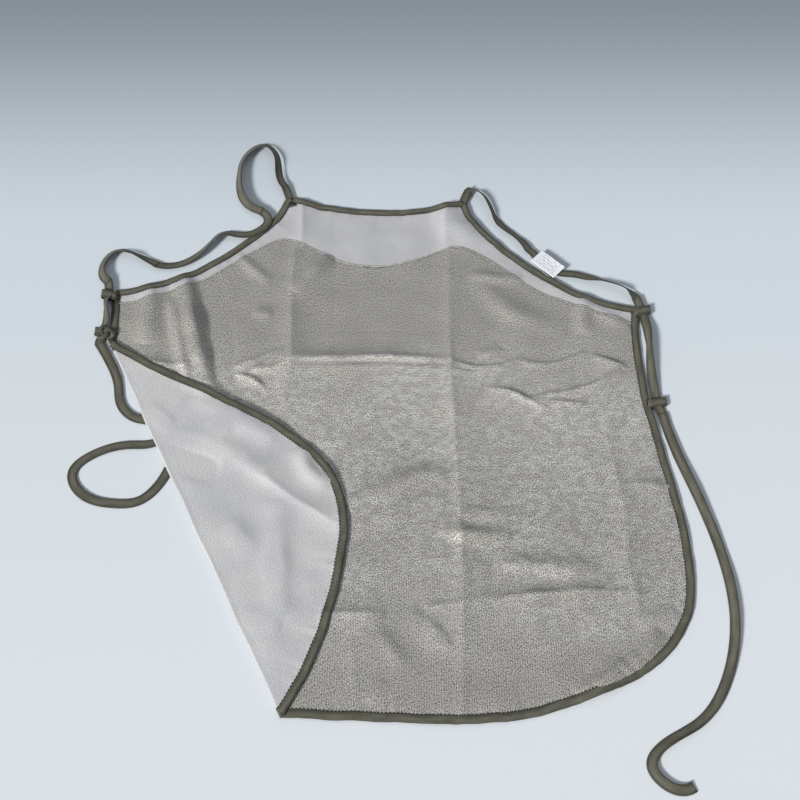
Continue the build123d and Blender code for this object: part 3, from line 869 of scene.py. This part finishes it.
def stitch_row(name, path, z, body, node, radius=0.5):
    """Separate stitches along a line, each a short thread that dips into the cloth at both ends."""
    even = resample(np.column_stack([path, z]), STITCH_PITCH)
    middles = (even[1:] + even[:-1]) / 2
    ahead = unit(even[1:] - even[:-1])
    side = unit(np.cross([0.0, 0.0, 1.0], ahead))
    up = np.cross(ahead, side)
    stations = np.array([-0.5, -0.36, 0.0, 0.36, 0.5]) * STITCH_LENGTH
    swell = np.array([0.35, 0.85, 1.0, 0.85, 0.35]) * radius
    rise = np.array([-0.18, 0.08, 0.18, 0.08, -0.18])
    around = np.arange(6) * math.pi / 3
    slant = np.tan(np.radians(rng.uniform(-7, 7, len(middles))))[:, None]
    centres = middles[:, None] + (ahead[:, None] + side[:, None] * slant[:, None]) * stations[None, :, None]
    centres = centres + up[:, None] * rise[None, :, None]
    ring = side[:, None, None] * np.cos(around)[None, None, :, None]
    ring = ring + up[:, None, None] * np.sin(around)[None, None, :, None]
    vertices = centres[:, :, None] + ring * swell[None, :, None, None]
    count = len(middles)
    number = np.arange(count * 30).reshape(count, 5, 6)
    caps = np.concatenate([number[:, 0, ::-1], number[:, -1]])
    uv = np.stack(np.broadcast_arrays(np.arange(6) * 0.3, stations[:, None]), -1).reshape(-1, 2)
    faces = between(number[:, :-1], number[:, 1:]) + caps.tolist()
    obj = new_mesh(name, vertices.reshape(-1, 3), faces, np.tile(uv, (count, 1)))
    return dress(obj, THREAD, "thread", body, node)


for number, node in enumerate(EDGE_NODES + ["flap_binding"]):
    on_flap = node == "flap_binding"
    body = "flap" if on_flap else "apron"
    flat = edge_wander(EDGE_LINES[node], 200 + 10 * number)
    side = inward_side(flat, (-160, 240) if on_flap else (0, 300))
    z = smooth(surface_z(flat, on_flap)[:, None], 3)[:, 0] + (0.0 if on_flap else 0.15)
    along = lengths_along(flat)
    z = z + 0.10 * np.abs(np.sin(along * math.pi / STITCH_PITCH)) + 0.12 * wobble(along, 5, 60 + number)
    path = np.column_stack([flat, z])
    tape = ribbon(f"{node}_tape", path, 2.5 * wobble(along, 30, 70 + number), binding_section(side))
    dress(tape, BINDING, "binding", body, node)
    stitch_path = flat + to_left(directions(flat)) * side * STITCH_FROM_MIDDLE
    seam_z = z + 0.60 * BINDING_HALF_THICK
    stitch_row(f"{node}_stitches", stitch_path, seam_z, body, node.replace("binding", "stitching"))

# The binding turns round the fold with the cloth, at the hem and at the side.
binding_ring = top_ring("flap_binding") - FOLD_FOOT
from_fold = binding_ring @ FOLD_ACROSS
cut_ends = (binding_ring @ FOLD_ALONG)[from_fold < from_fold.min() + 0.3]
at_hem = cut_ends < FOLD_LENGTH / 2
for place, end in (("hem", cut_ends[at_hem]), ("side", cut_ends[~at_hem])):
    alongs = np.linspace(end.min(), end.max(), 8)
    arcs = np.linspace(-math.pi * (FLAP_EDGE_Z - CLOTH_Z) / 2 - 3.5, 3.5, 22)
    along, arc = crossed(alongs, arcs)
    across, z = fold_profile(np.zeros_like(along), arc)
    quads = grid_cells(len(alongs), len(arcs))[:, ::-1]
    uv = np.column_stack([along - along.mean(), arc])
    points = np.column_stack([at_fold(along, across), z])
    turn = thick_sheet(f"binding_turn_{place}", points, quads, uv, 0.75, -1.3)
    dress(turn, BINDING, "binding", None)
    bend_at_fold(turn)

lining_seam = smooth(resample(lining_edge - [0, 3.0], 1.5), 2)
lining_seam_z = CLOTH_Z + LINING_RISE + body_height(lining_seam) + 0.05
stitch_row("lining_edge_stitches", lining_seam, lining_seam_z, "apron", "lining_edge_stitching", radius=0.2)
hem_z = CLOTH_Z + LINING_RISE + body_height(lining_edge) + 0.12
hem_path = resample(np.column_stack([lining_edge - [0, 0.9], hem_z]), 2.0)
turned = ribbon("lining_turned_edge", hem_path, 0.0, rounded_tape(2.4, 0.5, 0.4))
dress(turned, LINING, "lining", "apron")


# ---- straps and ties
TAPE = rounded_tape(11.2, 1.05)


def profile_along(path, stops):
    """Values eased between (share of length, value) stops."""
    along = lengths_along(path)
    values = np.interp(along / along[-1], [stop[0] for stop in stops], [stop[1] for stop in stops])
    return smooth(values[:, None], max(len(values) // 30, 2))[:, 0]


def strap(node, body, flat, rolls, heights, section=TAPE):
    """A length of tape with its own twist and rise along a path."""
    roll = profile_along(flat, rolls)
    z = profile_along(flat, heights) + TAPE_HALF_WIDTH * np.abs(np.sin(np.radians(roll)))
    path = np.column_stack([flat, z])
    path[:, 2] += 0.25 * wobble(lengths_along(path), 19.0, len(path))
    obj = ribbon(f"{node}_tape", path, roll, section)
    return dress(obj, STRAP, "strap", body, node)


def joined(*parts):
    """One eased path through several pieces of path."""
    return smooth(resample(np.vstack(parts), 1.5), 5)


def centre_of(node):
    low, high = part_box(node)
    return np.array((low + high) / 2) / MM


LAP = 3                       # how many path points a fixed length of tape runs on under its neighbour
ARC_TWISTS = {                # turn in degrees, then height, at shares of the length
    "right_upper_strap": (
        [(0, -14), (0.1, -50), (0.42, -52), (0.55, -22), (0.8, -30), (1, -12)],
        [(0, 4.8), (0.15, 2.6), (0.4, 1.6), (0.8, 2.0), (1, 4.4)],
    ),
    "right_lower_strap": (
        [(0, -10), (0.2, -14), (0.42, -46), (0.8, -50), (0.92, -20), (1, -8)],
        [(0, 3.9), (0.5, 1.6), (1, 4.6)],
    ),
    "left_strap_loop": (
        [(0, 16), (0.2, 48), (0.45, 30), (0.62, 55), (0.8, 40), (1, 12)],
        [(0, 5.2), (0.3, 3.2), (0.6, 3.0), (1, 5.4)],
    ),
    "left_shoulder_strap": (
        [(0, 14), (0.3, 45), (0.6, 34), (0.8, 40), (1, 12)],
        [(0, 2.6), (0.4, 2.2), (0.75, 2.6), (1, 4.6)],
    ),
}
ARCS = {node: centre_line(node) for node in ARC_TWISTS}
for node, (rolls, heights) in ARC_TWISTS.items():
    strap(node, node, ARCS[node], rolls, heights)


def middle_strap(node, before, after, rolls, heights):
    """A fixed length of tape between two that lift, run on a little under both."""
    strap(node, "apron", joined(ARCS[before][-LAP:], centre_line(node), ARCS[after][:LAP]), rolls, heights)


middle_strap("right_strap_under_label", "right_upper_strap", "right_lower_strap",
             [(0, -14), (0.3, -4), (1, -10)], [(0, 3.9), (0.4, 3.4), (1, 3.3)])
middle_strap("left_strap_middle", "left_strap_loop", "left_shoulder_strap",
             [(0, 12), (0.2, 6), (0.38, 14), (0.55, 50), (0.7, 30), (0.85, 12), (1, 14)],
             [(0, 4.7), (0.35, 4.4), (0.55, 3.4), (0.8, 2.2), (1, 2.0)])
TIE_TWIST = {                 # the left one stays flat, because the opened flap lies over it
    "left": [(0, 3), (0.3, 5), (0.6, 3), (1, 2)],
    "right": [(0, 8), (0.2, 24), (0.35, 12), (0.5, 30), (0.65, 8), (0.8, 26), (1, 6)],
}
TIES = {}
for hand in ("left", "right"):
    pivot = np.array(JOINTS[f"{hand}_tie_swing"]["pos_m"][:2]) / MM
    TIES[hand] = centre_line(f"{hand}_tie", pivot)
    strap(f"{hand}_tie", f"{hand}_tie", TIES[hand], TIE_TWIST[hand], [(0, 1.5), (0.1, 0.8), (1, 0.8)])

for side, hand, arc in ((-1, "left", "left_shoulder_strap"), (1, "right", "right_lower_strap")):
    top, bottom = centre_of(f"{hand}_underarm_loop"), centre_of(f"{hand}_waist_loop")
    share = np.linspace(0, 1, 60)[:, None]
    side_path = top[None, :2] * (1 - share) + bottom[None, :2] * share
    side_path[:, 0] += side * 3.0 * (np.sin(share * math.pi * 2) * (1 - share))[:, 0]
    flat = joined(ARCS[arc][-LAP:], side_path, TIES[hand][:LAP])
    strap(f"{hand}_side_strap", "apron", flat,
          [(0, 8), (0.2, 10), (0.42, 66), (0.62, 34), (0.78, 14), (0.93, 6), (1, 6)],
          [(0, 4.2), (0.2, 3.4), (0.8, 1.1), (1, 0.8)])

for side, hand, arc in ((-1, "left", "left_strap_loop"), (1, "right", "right_upper_strap")):
    low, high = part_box(f"{hand}_strap_end")
    foot = np.array([low.x if side > 0 else high.x, low.y]) / MM + [side * 4.5, 1.5]
    tip = np.array([high.x if side > 0 else low.x, high.y]) / MM + [-side * 4.5, -2.0]
    flat = joined([foot, (foot + tip) / 2], [tip], ARCS[arc][:LAP])
    strap(f"{hand}_strap_end", "apron", flat, [(0, 0), (0.6, 4), (1, 15)],
          [(0, 3.9), (0.5, 4.0), (1, 4.9)], rounded_tape(10.6, 0.95))


# ---- loops, knots and bar tacks
def tape_loop(name, node, width, height, skew, tape_width):
    """A flattened ring of tape round the strap, a little skewed, with soft corners."""
    centre = centre_of(node)
    centre[2] = max(centre[2], height / 2 + 0.9)
    angle = np.linspace(0, 2 * math.pi, 48, endpoint=False)
    across = np.sign(np.cos(angle)) * np.abs(np.cos(angle)) ** 0.6 * width / 2
    out = np.sign(np.sin(angle)) * np.abs(np.sin(angle)) ** 0.8 * height / 2
    path = centre + np.column_stack([across, skew * across / width, out])
    radial = unit(np.column_stack([np.cos(angle) / width, np.zeros_like(angle), np.sin(angle) / height]))
    along_strap = np.tile([0.0, 1.0, 0.0], (len(angle), 1))
    wave = 0.35 * np.sin(angle * 3 + 1.0)
    path = path + radial * wave[:, None]
    obj = sweep(name, path, along_strap, radial, rounded_tape(tape_width, 0.8), True)
    return dress(obj, STRAP, "strap", "apron", node)


def round_section(across, out, sides):
    """An oval section."""
    turns = np.linspace(0, 2 * math.pi, sides, endpoint=False)
    return [(across * math.cos(turn), out * math.sin(turn)) for turn in turns]


def knot(name, centre, size, turn, body):
    """The strap pulled into a small overhand knot."""
    t = np.linspace(0, 2 * math.pi, 110, endpoint=False)
    x = np.sin(t) + 2 * np.sin(2 * t)
    y = np.cos(t) - 2 * np.cos(2 * t)
    turn = math.radians(turn)
    cos, sin = math.cos(turn), math.sin(turn)
    lying = np.column_stack([x * cos - y * sin, x * sin + y * cos])
    path = np.column_stack([lying * size / 3, -np.sin(3 * t) * 1.7]) + centre
    obj = ribbon(name, path, 32 * np.sin(t * 2 + 0.6), round_section(2.9, 1.15, 12), True)
    return dress(obj, STRAP, "strap", body)


for side, hand in ((-1, "left"), (1, "right")):
    tape_loop(f"{hand}_underarm_loop_tape", f"{hand}_underarm_loop", 19, 5.6, side * 5, 12)
    tape_loop(f"{hand}_waist_loop_tape", f"{hand}_waist_loop", 22, 5.6, side * 4, 11)
knot("left_waist_knot", centre_of("left_waist_loop") + [3, -2, 4.6], 9.5, 75, "apron")


def loose_parts(node):
    """The boxes of a CAD node's separate lumps, in millimetres."""
    mesh = frame["nodes"][node].data
    points, index = welded(mesh)
    root = list(range(len(points)))

    def find(number):
        while root[number] != number:
            root[number] = root[root[number]]
            number = root[number]
        return number

    for edge in mesh.edges:
        root[find(index[edge.vertices[0]])] = find(index[edge.vertices[1]])
    groups = {}
    for number, point in enumerate(points):
        groups.setdefault(find(number), []).append(point)
    return [(np.min(group, axis=0), np.max(group, axis=0)) for group in groups.values()]


def bar_tacks():
    """Close zigzag stitching over each tack of the CAD part."""
    vertices, faces, uv = [], [], []
    section = round_section(0.28, 0.28, 6)
    for low, high in sorted(loose_parts("bar_tacks"), key=lambda box: tuple(np.round(box[0][:2]))):
        span = high - low
        long_way, short_way = (0, 1) if span[0] >= span[1] else (1, 0)
        turns = max(int(span[long_way] / 0.62), 3)
        zigzag = np.zeros((2 * turns, 3))
        zigzag[:, long_way] = np.linspace(low[long_way], high[long_way], 2 * turns)
        zigzag[:, short_way] = np.where(np.arange(2 * turns) % 2, low[short_way], high[short_way])
        zigzag[:, short_way] += rng.uniform(-0.15, 0.15, 2 * turns)
        zigzag[:, 2] = high[2] + 0.15
        piece = ribbon("tack", resample(zigzag, 0.45), 0.0, section)
        first = len(vertices)
        vertices += [tuple(vertex.co / MM) for vertex in piece.data.vertices]
        faces += [[first + number for number in polygon.vertices] for polygon in piece.data.polygons]
        uv += [(0.3 * number, 0.45 * (number // 6)) for number in range(len(piece.data.vertices))]
        bpy.data.objects.remove(piece)
    dress(new_mesh("bar_tack_stitches", vertices, faces, uv), THREAD, "thread", "apron", "bar_tacks")


bar_tacks()


# ---- care label
def care_label():
    """The label from its sewn edge outwards, curling up a little more towards one corner."""
    hinge = JOINTS["label_flip"]
    start = np.array(hinge["pos_m"]) / MM
    edge = np.array(hinge["axis"])
    across = np.array([-edge[1], edge[0], 0])
    columns, rows = 31, 19
    u, v = crossed(np.linspace(0, LABEL_LENGTH, columns), np.linspace(0, LABEL_REACH, rows))
    curl = LABEL_CURL * (v / LABEL_REACH) ** 2 * (0.35 + 0.65 * (u / LABEL_LENGTH))
    points = start + u[:, None] * edge + v[:, None] * across
    points[:, 2] += 0.35 + curl + 0.35 * np.sin(u / 7.0) * (v / LABEL_REACH)
    quads, uv = grid_cells(columns, rows), np.column_stack([u, v])
    obj = thick_sheet("care_label_cloth", points, quads, uv, 0.12, -0.12)
    return dress(obj, LABEL, "label", "label", "care_label")


def label_fold():
    """The part of the label that is caught under the strap."""
    ring = top_ring("label_root")
    middle = ring.mean(axis=0)
    spread = ring - middle
    _, _, turn = np.linalg.svd(spread, full_matrices=False)
    long_half, short_half = np.abs(spread @ turn.T).max(axis=0)
    flat = middle + np.linspace(-long_half, long_half, 30)[:, None] * turn[0]
    z = centre_of("label_root")[2] + 0.15 * np.sin(np.linspace(0, 7, 30))
    obj = ribbon("label_fold", np.column_stack([flat, z]), 0.0, rounded_tape(2 * short_half, 0.35, 0.2))
    return dress(obj, LABEL, "label", "apron", "label_root")


care_label()
label_fold()


# ---- floor, light and camera
FLOOR_HALF = 6.0
CAMERA_LENS, SENSOR_WIDTH = 51.96, 36.0
CAMERA_AIM = (0.0314, 0.3775)
CAMERA_HEIGHT, CAMERA_TILT = 1.1788, math.radians(60)


def add_stage():
    """A wide floor, a hair below the apron."""
    mesh = bpy.data.meshes.new("floor")
    corners = [(-1, -1), (1, -1), (1, 1), (-1, 1)]
    mesh.from_pydata([(x * FLOOR_HALF, y * FLOOR_HALF, -0.0002) for x, y in corners], [], [(0, 1, 2, 3)])
    mesh.uv_layers.new(name="UVMap")
    mesh.materials.append(floor_material())
    add_object("floor", mesh)


def add_sun(name, towards, strength, spread, colour):
    """A wide and distant lamp that lights the whole stage evenly. towards is the way its light travels."""
    data = bpy.data.lights.new(name, "SUN")
    data.energy, data.angle, data.color = strength, math.radians(spread), colour
    light = add_object(name, data)
    light.rotation_euler = Vector(towards).to_track_quat("-Z", "Y").to_euler()


def add_world():
    """Cool, soft light from all round; where the viewer sees past the floor it is as pale as the floor."""
    world = bpy.data.worlds.new("world")
    world.use_nodes = True
    bpy.context.scene.world = world
    nodes, links = world.node_tree.nodes, world.node_tree.links
    lighting = nodes["Background"]
    lighting.inputs[0].default_value = (0.86, 0.92, 1.0, 1)
    lighting.inputs[1].default_value = 0.28
    seen = nodes.new("ShaderNodeBackground")
    seen.inputs[0].default_value = srgb(176, 186, 194)
    mix = nodes.new("ShaderNodeMixShader")
    links.new(nodes.new("ShaderNodeLightPath").outputs["Is Camera Ray"], mix.inputs[0])
    links.new(lighting.outputs[0], mix.inputs[1])
    links.new(seen.outputs[0], mix.inputs[2])
    links.new(mix.outputs[0], nodes["World Output"].inputs[0])


def add_camera():
    """The viewer stands at the hem, a little to the right, and looks down at the apron at 60 degrees."""
    data = bpy.data.cameras.new("camera")
    data.lens, data.sensor_width = CAMERA_LENS, SENSOR_WIDTH
    camera = add_object("camera", data)
    back = CAMERA_HEIGHT / math.tan(CAMERA_TILT)
    camera.location = (CAMERA_AIM[0], CAMERA_AIM[1] - back, CAMERA_HEIGHT)
    camera.rotation_euler = (math.pi / 2 - CAMERA_TILT, 0, 0)
    bpy.context.scene.camera = camera


add_stage()
add_sun("key", (0.66, 0.66, -0.60), 3.5, 12, (1.0, 0.99, 0.97))
add_sun("fill", (-0.4, -0.5, -1.2), 0.2, 60, (0.95, 0.97, 1.0))
add_camera()
add_world()
bpy.context.scene.view_settings.view_transform = "Standard"
